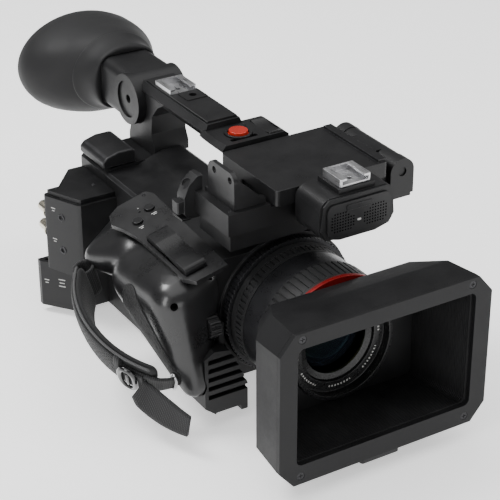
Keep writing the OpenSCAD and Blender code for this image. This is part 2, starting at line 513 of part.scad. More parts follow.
main_shell();
base_plate();
rear_housing();
jack_block();
rear_hump();
side_panel();
grip_shell();
grip_deck();
grip_pad();
audio_pod();
bnc_jacks();
strap_pad();
strap_web();
strap_hardware();
handle();
handle_plate();
handle_front();
mic_unit();
mic_grille();
shoe_front();
shoe_rear();
mic_bracket();
cable_clamp();
hinge_base();
lcd_arm();
lcd_panel();
lcd_glass();
evf_tube();
evf_optics();
eyecup();
diopter_lever();
lens_barrel();
focus_ring();
red_ring();
zoom_ring();
iris_ring();
filter_ring();
lens_glass();
lens_plate();
hood();
hood_frame();
hood_screws();
hood_lever();
sensor_block();
main_board();
cooling_fan();
battery();
battery_latch();
rec_button();
rec_lock();
handle_rocker();
grip_rocker();
deck_button_a();
deck_button_b();
thumb_dial();
nd_dial();
audio_dial_a();
audio_dial_b();
card_door();
power_switch();
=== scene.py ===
import bpy, bmesh, math, random
from mathutils import Vector, Matrix, noise
import numpy as np


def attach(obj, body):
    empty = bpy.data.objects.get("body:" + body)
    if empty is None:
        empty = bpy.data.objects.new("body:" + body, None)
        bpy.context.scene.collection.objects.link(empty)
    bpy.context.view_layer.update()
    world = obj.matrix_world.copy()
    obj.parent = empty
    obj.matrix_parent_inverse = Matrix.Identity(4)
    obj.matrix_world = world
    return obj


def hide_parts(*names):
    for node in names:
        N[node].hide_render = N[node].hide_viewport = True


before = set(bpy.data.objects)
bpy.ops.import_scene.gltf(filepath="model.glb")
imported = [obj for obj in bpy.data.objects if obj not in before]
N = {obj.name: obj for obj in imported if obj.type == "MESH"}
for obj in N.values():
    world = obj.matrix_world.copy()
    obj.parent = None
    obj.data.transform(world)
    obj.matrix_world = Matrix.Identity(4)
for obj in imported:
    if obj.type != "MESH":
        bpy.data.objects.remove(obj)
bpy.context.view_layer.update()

SC = bpy.context.scene


# ------------------------------------------------------------------ camera
def make_camera():
    az, el, roll, f = math.radians(-31.2976), math.radians(28.312), math.radians(-0.152), 1663.82
    back = Vector((math.sin(az) * math.cos(el), -math.cos(az) * math.cos(el), math.sin(el)))
    fwd = -back
    right = fwd.cross(Vector((0, 0, 1))).normalized()
    up = right.cross(fwd)
    r2 = right * math.cos(roll) + up * math.sin(roll)
    u2 = -right * math.sin(roll) + up * math.cos(roll)
    cam = bpy.data.cameras.new("camera")
    ob = bpy.data.objects.new("camera", cam)
    SC.collection.objects.link(ob)
    ob.matrix_world = Matrix(((r2.x, u2.x, back.x, -0.49756), (r2.y, u2.y, back.y, -0.82305), (r2.z, u2.z, back.z, 0.59911), (0, 0, 0, 1)))
    cam.lens = f * 36 / 500
    cam.sensor_width = 36
    cam.clip_start, cam.clip_end = 0.02, 30
    SC.camera = ob
    return ob


CAM = make_camera()


# ------------------------------------------------------------------ material tools
def nt(name):
    m = bpy.data.materials.new(name)
    m.use_nodes = True
    t = m.node_tree
    for n in list(t.nodes):
        t.nodes.remove(n)
    out = t.nodes.new("ShaderNodeOutputMaterial")
    b = t.nodes.new("ShaderNodeBsdfPrincipled")
    t.links.new(b.outputs[0], out.inputs[0])
    return m, t, b


def node(t, kind, **kw):
    n = t.nodes.new(kind)
    for k, v in kw.items():
        if k in n.inputs:
            n.inputs[k].default_value = v
        else:
            setattr(n, k, v)
    return n


def coords(t, scale=(1, 1, 1), rot=(0, 0, 0), loc=(0, 0, 0)):
    tc = node(t, "ShaderNodeTexCoord")
    mp = node(t, "ShaderNodeMapping")
    mp.inputs["Scale"].default_value = scale
    mp.inputs["Rotation"].default_value = rot
    mp.inputs["Location"].default_value = loc
    t.links.new(tc.outputs["Object"], mp.inputs["Vector"])
    return mp.outputs["Vector"]


def ramp(t, src, lo, hi, a, b):
    r = node(t, "ShaderNodeMapRange")
    r.inputs["From Min"].default_value = lo
    r.inputs["From Max"].default_value = hi
    r.inputs["To Min"].default_value = a
    r.inputs["To Max"].default_value = b
    t.links.new(src, r.inputs["Value"])
    return r.outputs["Result"]


def cramp(t, src, stops):
    r = node(t, "ShaderNodeValToRGB")
    el = r.color_ramp.elements
    while len(el) > 1:
        el.remove(el[-1])
    el[0].position = stops[0][0]
    el[0].color = (*stops[0][1], 1)
    for p, c in stops[1:]:
        e = el.new(p)
        e.color = (*c, 1)
    t.links.new(src, r.inputs["Fac"])
    return r.outputs["Color"]


def math_(t, op, a, b=None, clamp=False):
    n = node(t, "ShaderNodeMath", operation=op, use_clamp=clamp)
    for i, v in enumerate((a, b)):
        if v is None:
            continue
        if isinstance(v, (int, float)):
            n.inputs[i].default_value = v
        else:
            t.links.new(v, n.inputs[i])
    return n.outputs[0]


def mixc(t, fac, a, b):
    n = node(t, "ShaderNodeMix", data_type="RGBA")
    if isinstance(fac, (int, float)):
        n.inputs[0].default_value = fac
    else:
        t.links.new(fac, n.inputs[0])
    for i, v in ((6, a), (7, b)):
        if isinstance(v, tuple):
            n.inputs[i].default_value = (*v, 1)
        else:
            t.links.new(v, n.inputs[i])
    return n.outputs[2]


def bump(t, b, height, strength, dist, chain=None):
    n = node(t, "ShaderNodeBump")
    n.inputs["Strength"].default_value = strength
    n.inputs["Distance"].default_value = dist
    t.links.new(height, n.inputs["Height"])
    if chain is not None:
        t.links.new(chain, n.inputs["Normal"])
    t.links.new(n.outputs[0], b.inputs["Normal"])
    return n.outputs[0]


def mul(c, k):
    return tuple(min(1, v * k) for v in c)


MATS = {}


def plastic(name, color, rough=0.5, grain=0.45, gs=0.25, gd=0.00006, var=0.25, coat=0.0, spec=0.3, rvar=0.07, edge=1.9, edge_rough=-0.04):
    """moulded plastic or paint: fine grain bump, slow colour and roughness drift, and a second slot for rubbed edges"""
    for suffix, c, r in (("", color, rough), ("_edge", mul(color, edge), max(0.12, rough + edge_rough))):
        m, t, b = nt(name + suffix)
        v = coords(t)
        g = node(t, "ShaderNodeTexNoise", Scale=1000 / grain, Detail=2.0, Roughness=0.6)
        t.links.new(v, g.inputs["Vector"])
        big = node(t, "ShaderNodeTexNoise", Scale=38.0, Detail=4.0, Roughness=0.62)
        t.links.new(v, big.inputs["Vector"])
        mid = node(t, "ShaderNodeTexNoise", Scale=420.0, Detail=5.0, Roughness=0.7)
        t.links.new(v, mid.inputs["Vector"])
        col = cramp(t, big.outputs["Fac"], [(0.3, mul(c, 1 - var)), (0.7, mul(c, 1 + var))])
        if suffix:
            col = mixc(t, ramp(t, mid.outputs["Fac"], 0.4, 0.62, 0.0, 0.7), col, mul(color, edge * 2.0))
        t.links.new(col, b.inputs["Base Color"])
        ro = math_(t, "ADD", ramp(t, big.outputs["Fac"], 0.3, 0.7, r - rvar, r + rvar), ramp(t, mid.outputs["Fac"], 0.3, 0.7, -rvar * 0.5, rvar * 0.5), True)
        t.links.new(ro, b.inputs["Roughness"])
        b.inputs["Specular IOR Level"].default_value = spec
        b.inputs["Coat Weight"].default_value = coat
        b.inputs["Coat Roughness"].default_value = 0.16
        bump(t, b, g.outputs["Fac"], gs * (0.5 if suffix else 1.0), gd)
        MATS[name + suffix] = m
    return MATS[name]


def rubber(name, color, rough=0.62, grain=0.35, gs=0.3, dust=0.25):
    m, t, b = nt(name)
    v = coords(t)
    g = node(t, "ShaderNodeTexNoise", Scale=1000 / grain, Detail=3.0, Roughness=0.65)
    t.links.new(v, g.inputs["Vector"])
    big = node(t, "ShaderNodeTexNoise", Scale=30.0, Detail=6.0, Roughness=0.65)
    t.links.new(v, big.inputs["Vector"])
    dst = ramp(t, big.outputs["Fac"], 0.45, 0.75, 0.0, dust)
    t.links.new(mixc(t, dst, color, mul(color, 2.4)), b.inputs["Base Color"])
    t.links.new(ramp(t, big.outputs["Fac"], 0.3, 0.75, rough - 0.06, rough + 0.12), b.inputs["Roughness"])
    b.inputs["Specular IOR Level"].default_value = 0.28
    b.inputs["Sheen Weight"].default_value = 0.05
    b.inputs["Sheen Roughness"].default_value = 0.5
    bump(t, b, g.outputs["Fac"], gs, 0.00006)
    MATS[name] = m
    return m


def metal(name, color, rough=0.3, brush_axis=(1, 1, 1), bs=0.12, metallic=1.0, var=0.12):
    m, t, b = nt(name)
    v = coords(t, scale=brush_axis)
    g = node(t, "ShaderNodeTexNoise", Scale=900.0, Detail=3.0, Roughness=0.6)
    t.links.new(v, g.inputs["Vector"])
    big = node(t, "ShaderNodeTexNoise", Scale=90.0, Detail=5.0, Roughness=0.7)
    t.links.new(coords(t), big.inputs["Vector"])
    t.links.new(cramp(t, big.outputs["Fac"], [(0.3, mul(color, 1 - var)), (0.72, mul(color, 1 + var))]), b.inputs["Base Color"])
    t.links.new(math_(t, "ADD", ramp(t, g.outputs["Fac"], 0.3, 0.7, rough - 0.07, rough + 0.09), ramp(t, big.outputs["Fac"], 0.4, 0.7, 0, 0.08), True), b.inputs["Roughness"])
    b.inputs["Metallic"].default_value = metallic
    bump(t, b, g.outputs["Fac"], bs, 0.00003)
    MATS[name] = m
    return m


BLK = (0.0075, 0.0075, 0.008)
plastic("body_plastic", BLK, rough=0.42, grain=0.5, gs=0.35)
plastic("body_satin", (0.009, 0.009, 0.0095), rough=0.32, grain=0.6, gs=0.1, coat=0.3, spec=0.4)
plastic("hood_plastic", (0.0055, 0.0055, 0.006), rough=0.5, grain=0.42, gs=0.4, edge=1.6, spec=0.22)
# painted light: the inside of the hood gets a lighter copy of the hood plastic so its shaded ribs read brighter
plastic("hood_inner_painted_light", (0.0065, 0.0065, 0.007), rough=0.55, grain=0.5, gs=0.3, edge=1.2)
plastic("panel_plastic", (0.0105, 0.0105, 0.011), rough=0.36, grain=0.5, gs=0.22)
plastic("lid_plastic", (0.0085, 0.0085, 0.009), rough=0.33, grain=0.8, gs=0.12, var=0.12)
plastic("button_plastic", (0.009, 0.009, 0.0095), rough=0.32, grain=0.5, gs=0.15)
plastic("gloss_black", (0.004, 0.004, 0.0045), rough=0.14, grain=0.8, gs=0.05, coat=0.5, spec=0.4, edge=1.3)
plastic("red_plastic", (0.32, 0.014, 0.006), rough=0.28, grain=0.8, gs=0.08, coat=0.4, var=0.12, spec=0.4, edge=1.2)
plastic("pcb", (0.012, 0.07, 0.03), rough=0.35, grain=0.8, gs=0.1, coat=0.3, var=0.2, edge=1.2)
plastic("white_ink", (0.4, 0.4, 0.39), rough=0.55, grain=0.4, gs=0.1, var=0.08, edge=1.0)
rubber("eyecup_rubber", (0.0055, 0.0055, 0.006), rough=0.58)
rubber("ring_rubber", (0.008, 0.008, 0.0085), rough=0.46, grain=0.3)
metal("steel", (0.6, 0.6, 0.61), rough=0.3, brush_axis=(1, 0.08, 1))
metal("jack_metal", (0.66, 0.62, 0.52), rough=0.22, brush_axis=(1, 0.1, 1))
metal("black_metal", (0.022, 0.022, 0.024), rough=0.3, metallic=0.55)
metal("alu", (0.5, 0.51, 0.54), rough=0.35)
metal("red_metal", (0.22, 0.006, 0.006), rough=0.3, metallic=0.55, var=0.08)


def uvmap(t):
    return node(t, "ShaderNodeUVMap", uv_map="mm").outputs[0]


def sep(t, v):
    x = node(t, "ShaderNodeSeparateXYZ")
    t.links.new(v, x.inputs[0])
    return x.outputs[0], x.outputs[1]


def wave(t, src, pitch, phase=0.0):
    """0..1 wave of that pitch, in the units of src"""
    return math_(t, "ADD", math_(t, "MULTIPLY", math_(t, "SINE", math_(t, "ADD", math_(t, "MULTIPLY", src, 2 * math.pi / pitch), phase)), 0.5), 0.5)


def mesh_cloth():
    m, t, b = nt("mesh_cloth")
    uv = uvmap(t)
    mp = node(t, "ShaderNodeMapping")
    mp.inputs["Rotation"].default_value = (0, 0, math.radians(45))
    mp.inputs["Scale"].default_value = (1 / 2.5, 1 / 2.5, 1)
    t.links.new(uv, mp.inputs["Vector"])
    vo = node(t, "ShaderNodeTexVoronoi", voronoi_dimensions="2D", feature="F1")
    vo.inputs["Scale"].default_value = 1.0
    vo.inputs["Randomness"].default_value = 0.0
    t.links.new(mp.outputs[0], vo.inputs["Vector"])
    hole = ramp(t, vo.outputs["Distance"], 0.22, 0.36, 1.0, 0.0)
    u, v = sep(t, uv)
    yarn = math_(t, "MULTIPLY", wave(t, u, 0.55), wave(t, v, 0.6))
    no = node(t, "ShaderNodeTexNoise", Scale=700.0, Detail=4.0, Roughness=0.7)
    t.links.new(coords(t), no.inputs["Vector"])
    c = mixc(t, math_(t, "MULTIPLY", yarn, no.outputs["Fac"]), (0.009, 0.009, 0.0095), (0.035, 0.035, 0.036))
    t.links.new(mixc(t, hole, c, (0.001, 0.001, 0.001)), b.inputs["Base Color"])
    b.inputs["Specular IOR Level"].default_value = 0.2
    b.inputs["Sheen Weight"].default_value = 0.12
    t.links.new(ramp(t, no.outputs["Fac"], 0.3, 0.7, 0.68, 0.86), b.inputs["Roughness"])
    n1 = bump(t, b, math_(t, "SUBTRACT", 1.0, hole), 0.9, 0.0007)
    bump(t, b, yarn, 0.35, 0.00012, n1)
    MATS["mesh_cloth"] = m


def web_cloth(name, base, hi, p1=1.25, p2=1.9, d=0.00028):
    m, t, b = nt(name)
    u, v = sep(t, uvmap(t))
    w = math_(t, "MULTIPLY", wave(t, u, p1), math_(t, "ADD", math_(t, "MULTIPLY", wave(t, math_(t, "ADD", v, math_(t, "MULTIPLY", u, 0.5)), p2), 0.6), 0.4))
    no = node(t, "ShaderNodeTexNoise", Scale=900.0, Detail=4.0, Roughness=0.75)
    t.links.new(coords(t), no.inputs["Vector"])
    f = math_(t, "MULTIPLY", w, ramp(t, no.outputs["Fac"], 0.25, 0.75, 0.5, 1.1))
    t.links.new(mixc(t, f, base, hi), b.inputs["Base Color"])
    b.inputs["Specular IOR Level"].default_value = 0.22
    b.inputs["Sheen Weight"].default_value = 0.1
    t.links.new(ramp(t, no.outputs["Fac"], 0.3, 0.7, 0.62, 0.82), b.inputs["Roughness"])
    n1 = bump(t, b, w, 0.6, d)
    bump(t, b, no.outputs["Fac"], 0.25, 0.0001, n1)
    MATS[name] = m


def leather(name, color):
    m, t, b = nt(name)
    v = coords(t)
    wob = node(t, "ShaderNodeTexNoise", Scale=260.0, Detail=3.0, Roughness=0.6)
    t.links.new(v, wob.inputs["Vector"])
    vo = node(t, "ShaderNodeTexVoronoi", feature="SMOOTH_F1")
    vo.inputs["Scale"].default_value = 760.0
    vo.inputs["Smoothness"].default_value = 0.35
    t.links.new(v, vo.inputs["Vector"])
    big = node(t, "ShaderNodeTexNoise", Scale=34.0, Detail=5.0, Roughness=0.6)
    t.links.new(v, big.inputs["Vector"])
    t.links.new(mixc(t, ramp(t, vo.outputs["Distance"], 0.25, 0.75, 0.0, 1.0), mul(color, 1.5), mul(color, 0.5)), b.inputs["Base Color"])
    t.links.new(ramp(t, big.outputs["Fac"], 0.3, 0.7, 0.55, 0.7), b.inputs["Roughness"])
    b.inputs["Specular IOR Level"].default_value = 0.35
    n1 = bump(t, b, math_(t, "SUBTRACT", 1.0, vo.outputs["Distance"]), 0.75, 0.0005)
    bump(t, b, wob.outputs["Fac"], 0.2, 0.0002, n1)
    MATS[name] = m


def glass_mat(name, tint, film):
    """coated dark glass: near-black depth, sharp sky reflection, a thin coloured film, and a painted reflection that
    lightens the colour towards grazing angles
    """
    m, t, b = nt(name)
    lw = node(t, "ShaderNodeLayerWeight", Blend=0.35)
    no = node(t, "ShaderNodeTexNoise", Scale=60.0, Detail=3.0, Roughness=0.5)
    t.links.new(coords(t), no.inputs["Vector"])
    # painted reflection: the base colour brightens up to 3.5 times towards grazing angles
    t.links.new(mixc(t, lw.outputs["Facing"], tint, mul(tint, 3.5)), b.inputs["Base Color"])
    t.links.new(ramp(t, no.outputs["Fac"], 0.3, 0.7, 0.015, 0.045), b.inputs["Roughness"])
    b.inputs["IOR"].default_value = 1.75
    b.inputs["Specular IOR Level"].default_value = 0.6
    b.inputs["Coat Weight"].default_value = 0.7
    b.inputs["Coat Roughness"].default_value = 0.02
    if "Thin Film Thickness" in b.inputs:
        b.inputs["Thin Film Thickness"].default_value = film
        b.inputs["Thin Film IOR"].default_value = 1.38
    MATS[name] = m


def filter_mat():
    """black anodised front ring with a circle of short painted index marks"""
    m, t, b = nt("filter_paint")
    tc = node(t, "ShaderNodeTexCoord")
    x = node(t, "ShaderNodeSeparateXYZ")
    t.links.new(tc.outputs["Object"], x.inputs[0])
    zz = math_(t, "SUBTRACT", x.outputs[2], 0.066)
    r = math_(t, "SQRT", math_(t, "ADD", math_(t, "MULTIPLY", x.outputs[0], x.outputs[0]), math_(t, "MULTIPLY", zz, zz)))
    ang = math_(t, "ARCTAN2", zz, x.outputs[0])
    tick = ramp(t, math_(t, "FRACT", math_(t, "MULTIPLY", ang, 84 / (2 * math.pi))), 0.42, 0.46, 1.0, 0.0)
    grp = ramp(t, math_(t, "FRACT", math_(t, "MULTIPLY", ang, 7 / (2 * math.pi))), 0.60, 0.61, 1.0, 0.0)
    band = math_(t, "MULTIPLY", math_(t, "GREATER_THAN", r, 0.0292), math_(t, "LESS_THAN", r, 0.0304))
    mask = math_(t, "MULTIPLY", math_(t, "MULTIPLY", tick, grp), band)
    no = node(t, "ShaderNodeTexNoise", Scale=900.0, Detail=3.0, Roughness=0.6)
    t.links.new(coords(t), no.inputs["Vector"])
    t.links.new(mixc(t, mask, (0.009, 0.009, 0.0095), (0.55, 0.55, 0.53)), b.inputs["Base Color"])
    t.links.new(ramp(t, no.outputs["Fac"], 0.3, 0.7, 0.24, 0.36), b.inputs["Roughness"])
    b.inputs["Specular IOR Level"].default_value = 0.45
    bump(t, b, no.outputs["Fac"], 0.08, 0.00003)
    MATS["filter_paint"] = m


mesh_cloth()
web_cloth("web_cloth", (0.005, 0.005, 0.0055), (0.04, 0.04, 0.041))
web_cloth("pad_cloth", (0.006, 0.006, 0.0065), (0.014, 0.014, 0.0145), 0.62, 0.62, 0.00012)
web_cloth("piping_cloth", (0.03, 0.03, 0.031), (0.13, 0.13, 0.13), 0.9, 1.1, 0.0001)
leather("leather_pad", (0.015, 0.015, 0.0155))
glass_mat("lens_coat", (0.004, 0.005, 0.007), 430)
glass_mat("screen_glass", (0.003, 0.003, 0.0035), 0)
glass_mat("eye_glass", (0.006, 0.008, 0.012), 380)
filter_mat()
MAP = dict(
    main_shell="body_plastic", base_plate="black_metal", rear_housing="body_plastic", jack_block="body_plastic", rear_hump="body_plastic",
    side_panel="panel_plastic", grip_shell="body_satin", grip_deck="body_satin", grip_pad="ring_rubber", audio_pod="body_plastic", bnc_jacks="jack_metal",
    strap_pad="ring_rubber", strap_web="ring_rubber", strap_hardware="button_plastic", handle="body_plastic", handle_plate="panel_plastic", handle_front="body_plastic",
    mic_unit="body_plastic", mic_grille="panel_plastic", shoe_front="steel", shoe_rear="steel", mic_bracket="panel_plastic", cable_clamp="panel_plastic", hinge_base="body_plastic",
    lcd_arm="body_plastic", lcd_panel="lid_plastic", lcd_glass="screen_glass", evf_tube="body_plastic", evf_optics="eye_glass", eyecup="eyecup_rubber", diopter_lever="button_plastic",
    lens_barrel="black_metal", focus_ring="ring_rubber", red_ring="red_metal", zoom_ring="ring_rubber", iris_ring="black_metal", filter_ring="filter_paint", lens_glass="lens_coat", lens_plate="body_plastic",
    hood="hood_plastic", hood_frame="hood_plastic", hood_screws="black_metal", hood_lever="button_plastic", sensor_block="alu", main_board="pcb", cooling_fan="button_plastic",
    battery="body_plastic", battery_latch="button_plastic", rec_button="red_plastic", rec_lock="button_plastic", handle_rocker="button_plastic", grip_rocker="button_plastic",
    deck_button_a="button_plastic", deck_button_b="button_plastic", thumb_dial="button_plastic", nd_dial="button_plastic", audio_dial_a="button_plastic", audio_dial_b="button_plastic",
    card_door="panel_plastic", power_switch="button_plastic")
BEV = dict(hood=0.0009, hood_frame=0.0006, lcd_panel=0.0008, main_shell=0.0012, rear_housing=0.0012, jack_block=0.001, rear_hump=0.0012, handle=0.0011, handle_front=0.0009, mic_unit=0.0008, evf_tube=0.0005,
           audio_pod=0.0006, battery=0.0008, side_panel=0.0005, grip_deck=0.0006, mic_bracket=0.0004, hinge_base=0.0006, lcd_arm=0.0005, grip_rocker=0.0004, handle_rocker=0.0004)


ROUND = {"focus_ring", "zoom_ring", "iris_ring", "lens_barrel", "filter_ring", "lens_glass", "red_ring", "strap_pad", "strap_web", "eyecup", "grip_shell", "grip_pad"}


def dress(name, matname):
    o = N[name]
    o.data.materials.clear()
    o.data.materials.append(MATS[matname])
    if matname + "_edge" in MATS:
        o.data.materials.append(MATS[matname + "_edge"])
    w = o.modifiers.new("weld", "WELD")
    w.merge_threshold = 0.000004
    if name not in ROUND:
        d = o.modifiers.new("flat", "DECIMATE")
        d.decimate_type = "DISSOLVE"
        d.angle_limit = math.radians(0.6)
    bw = BEV.get(name, 0.00025)
    if bw:
        b = o.modifiers.new("bevel", "BEVEL")
        b.width = bw
        b.segments = 2
        b.limit_method = "ANGLE"
        b.angle_limit = math.radians(28)
        b.use_clamp_overlap = True
        b.miter_outer = "MITER_ARC"
        if matname + "_edge" in MATS:
            b.material = 1
    n = o.modifiers.new("normals", "WEIGHTED_NORMAL")
    n.keep_sharp = False
    for p in o.data.polygons:
        p.use_smooth = True


for k, v in MAP.items():
    dress(k, v)


# ------------------------------------------------------------------ new pieces
def P(x, y, z):
    """lens-frame millimetres to the row frame"""
    return Vector((x / 1000, (y - 160) / 1000, (z + 66) / 1000))


def piece(name, me, body, mats, nodes=(), smooth=True):
    for p in me.polygons:
        p.use_smooth = smooth
    for m in mats:
        me.materials.append(MATS[m])
    o = bpy.data.objects.new(name, me)
    SC.collection.objects.link(o)
    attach(o, body)
    if nodes:
        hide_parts(*nodes)
    return o


def loft(name, rings, loop_rings=False, cap=(False, False), uvs=None, mat_of=None):
    """quads between rings of equal length; uvs gives (u, v) in mm per ring and point"""
    bm = bmesh.new()
    vs = [[bm.verts.new(p) for p in r] for r in rings]
    lay = bm.loops.layers.uv.new("mm")
    n = len(rings[0])
    last = len(rings) if loop_rings else len(rings) - 1
    for i in range(last):
        j = (i + 1) % len(rings)
        for k in range(n):
            l = (k + 1) % n
            f = bm.faces.new((vs[i][k], vs[i][l], vs[j][l], vs[j][k]))
            if mat_of:
                f.material_index = mat_of(i, k)
            if uvs:
                cs = (uvs(i, k), uvs(i, k + 1), uvs(i + 1, k + 1), uvs(i + 1, k))
                for lp, c in zip(f.loops, cs):
                    lp[lay].uv = c
    for want, r in ((cap[0], vs[0]), (cap[1], vs[-1])):
        if want:
            c = bm.verts.new(sum((v.co for v in r), Vector()) / n)
            for k in range(n):
                f = bm.faces.new((r[k], c, r[(k + 1) % n]))
                for lp in f.loops:
                    lp[lay].uv = (lp.vert.co.y * 1000, lp.vert.co.z * 1000)
    bmesh.ops.recalc_face_normals(bm, faces=bm.faces)
    me = bpy.data.meshes.new(name)
    bm.to_mesh(me)
    bm.free()
    return me


def lerp_tab(tab, x):
    for (x0, *a), (x1, *b) in zip(tab, tab[1:]):
        if x <= x1:
            f = 0 if x1 == x0 else max(0, (x - x0) / (x1 - x0))
            return [p + (q - p) * f for p, q in zip(a, b)]
    return list(tab[-1][1:])


def rrect_r(th, w, h, r):
    """distance from the centre to a rounded rectangle of half sizes w, h at angle th"""
    lo, hi = 0.0, math.hypot(w, h)
    c, s = abs(math.cos(th)), abs(math.sin(th))
    for _ in range(30):
        mid = (lo + hi) / 2
        x, y = c * mid, s * mid
        qx, qy = x - (w - r), y - (h - r)
        d = math.hypot(max(qx, 0), max(qy, 0)) + min(max(qx, qy), 0) - r
        if d < 0:
            lo = mid
        else:
            hi = mid
    return lo


def eyecup():
    ctr = [(325, 1.5, 79), (343, 0, 78), (360, -3, 75), (378, -5, 73.5), (400, -5, 73.5)]
    prof = [  # y, half width, half height, share of rounded rectangle
        (325.7, 21.6, 20.2, 0.6), (325.4, 23.2, 21.6, 0.45), (325.7, 24.8, 22.9, 0.3), (326.8, 25.8, 23.8, 0.2), (330, 26.5, 24.3, 0.12), (334, 27.6, 25.0, 0.05), (338, 29.2, 26.2, 0), (341, 31.2, 27.7, 0),
        (342.4, 32.5, 28.7, 0), (343.2, 33.0, 29.1, 0), (343.7, 32.9, 29.0, 0), (344.0, 32.4, 28.5, 0), (344.4, 32.5, 28.55, 0), (345.2, 33.2, 29.0, 0), (348, 35.5, 30.1, 0), (352, 38.7, 31.4, 0), (356, 41.7, 32.5, 0), (360, 44.3, 33.4, 0), (365, 47.1, 34.5, 0),
        (370, 49.2, 35.4, 0), (375, 50.6, 36.0, 0), (380, 51.2, 36.3, 0), (385, 51.0, 36.2, 0), (389, 50.2, 35.6, 0), (391.6, 49.4, 35.1, 0), (393.0, 48.7, 34.7, 0), (393.8, 47.9, 34.2, 0), (393.9, 47.2, 33.6, 0), (393.3, 46.6, 33.1, 0),
        (391, 46.5, 32.9, 0), (386, 47.0, 33.0, 0), (380, 47.2, 33.0, 0), (372, 45.6, 32.2, 0), (364, 42.0, 30.8, 0), (356, 37.2, 29.1, 0), (349, 32.4, 27.3, 0), (345, 29.8, 25.9, 0), (342, 27.6, 24.6, 0.05), (337, 24.2, 22.2, 0.2),
        (333, 21.2, 19.8, 0.6), (331.2, 19.9, 18.5, 1), (330.0, 19.75, 18.25, 1), (327, 19.75, 18.25, 1), (326.1, 20.2, 18.8, 0.9)]
    n = 112
    rings = []
    for y, w, h, q in prof:
        cx_, cz_ = lerp_tab(ctr, y)
        r = []
        for k in range(n):
            th = 2 * math.pi * k / n
            e = 1 / math.sqrt((math.cos(th) / w) ** 2 + (math.sin(th) / h) ** 2)
            d = e if q == 0 else (1 - q) * e + q * rrect_r(th, w, h, 7.4)
            r.append(P(cx_ + d * math.cos(th), y, cz_ + d * math.sin(th)))
        rings.append(r)
    piece("eyecup_soft", loft("eyecup_soft", rings, loop_rings=True), "eyepiece", ["eyecup_rubber"], ["eyecup"])


eyecup()


# ---- hand grip, its grained pad
BALLS = (((-58, 126, 24, 17), (-75, 122, 18, 18), (-73, 110, -18, 13), (-72, 104, -34, 9), (-76, 166, 14, 18), (-72, 146, -6, 16), (-58, 176, 24, 17)),
         ((-70, 180, 20, 17), (-62, 196, 26, 16), (-86, 206, 14, 9), (-60, 214, 20, 14)))


def grip_body():
    """the two blended lobes of the grip as one skin"""
    bm = bmesh.new()
    for group in BALLS:
        src = bmesh.new()
        for x, y, z, r in group:
            bmesh.ops.create_icosphere(src, subdivisions=3, radius=r / 1000, matrix=Matrix.Translation(P(x, y, z)))
        pts = [bm.verts.new(v.co) for v in src.verts]
        src.free()
        res = bmesh.ops.convex_hull(bm, input=pts)
        drop = {g for g in res["geom_interior"] + res["geom_unused"] if isinstance(g, bmesh.types.BMVert) and g.is_valid}
        bmesh.ops.delete(bm, geom=[v for v in drop if not v.link_faces], context="VERTS")
    me = bpy.data.meshes.new("grip_tmp")
    bm.to_mesh(me)
    bm.free()
    o = bpy.data.objects.new("grip_tmp", me)
    SC.collection.objects.link(o)
    m = o.modifiers.new("r", "REMESH")
    m.mode = "VOXEL"
    m.voxel_size = 0.0013
    sm = o.modifiers.new("s", "SMOOTH")
    sm.factor = 0.5
    sm.iterations = 34
    bpy.context.view_layer.update()
    ev = o.evaluated_get(bpy.context.evaluated_depsgraph_get())
    out = bpy.data.meshes.new_from_object(ev)
    bpy.data.objects.remove(o)
    return out


def frame_rot(rx, ry):
    """OpenSCAD rotate([rx, ry, 0])"""
    return Matrix.Rotation(math.radians(ry), 3, "Y") @ Matrix.Rotation(math.radians(rx), 3, "X")


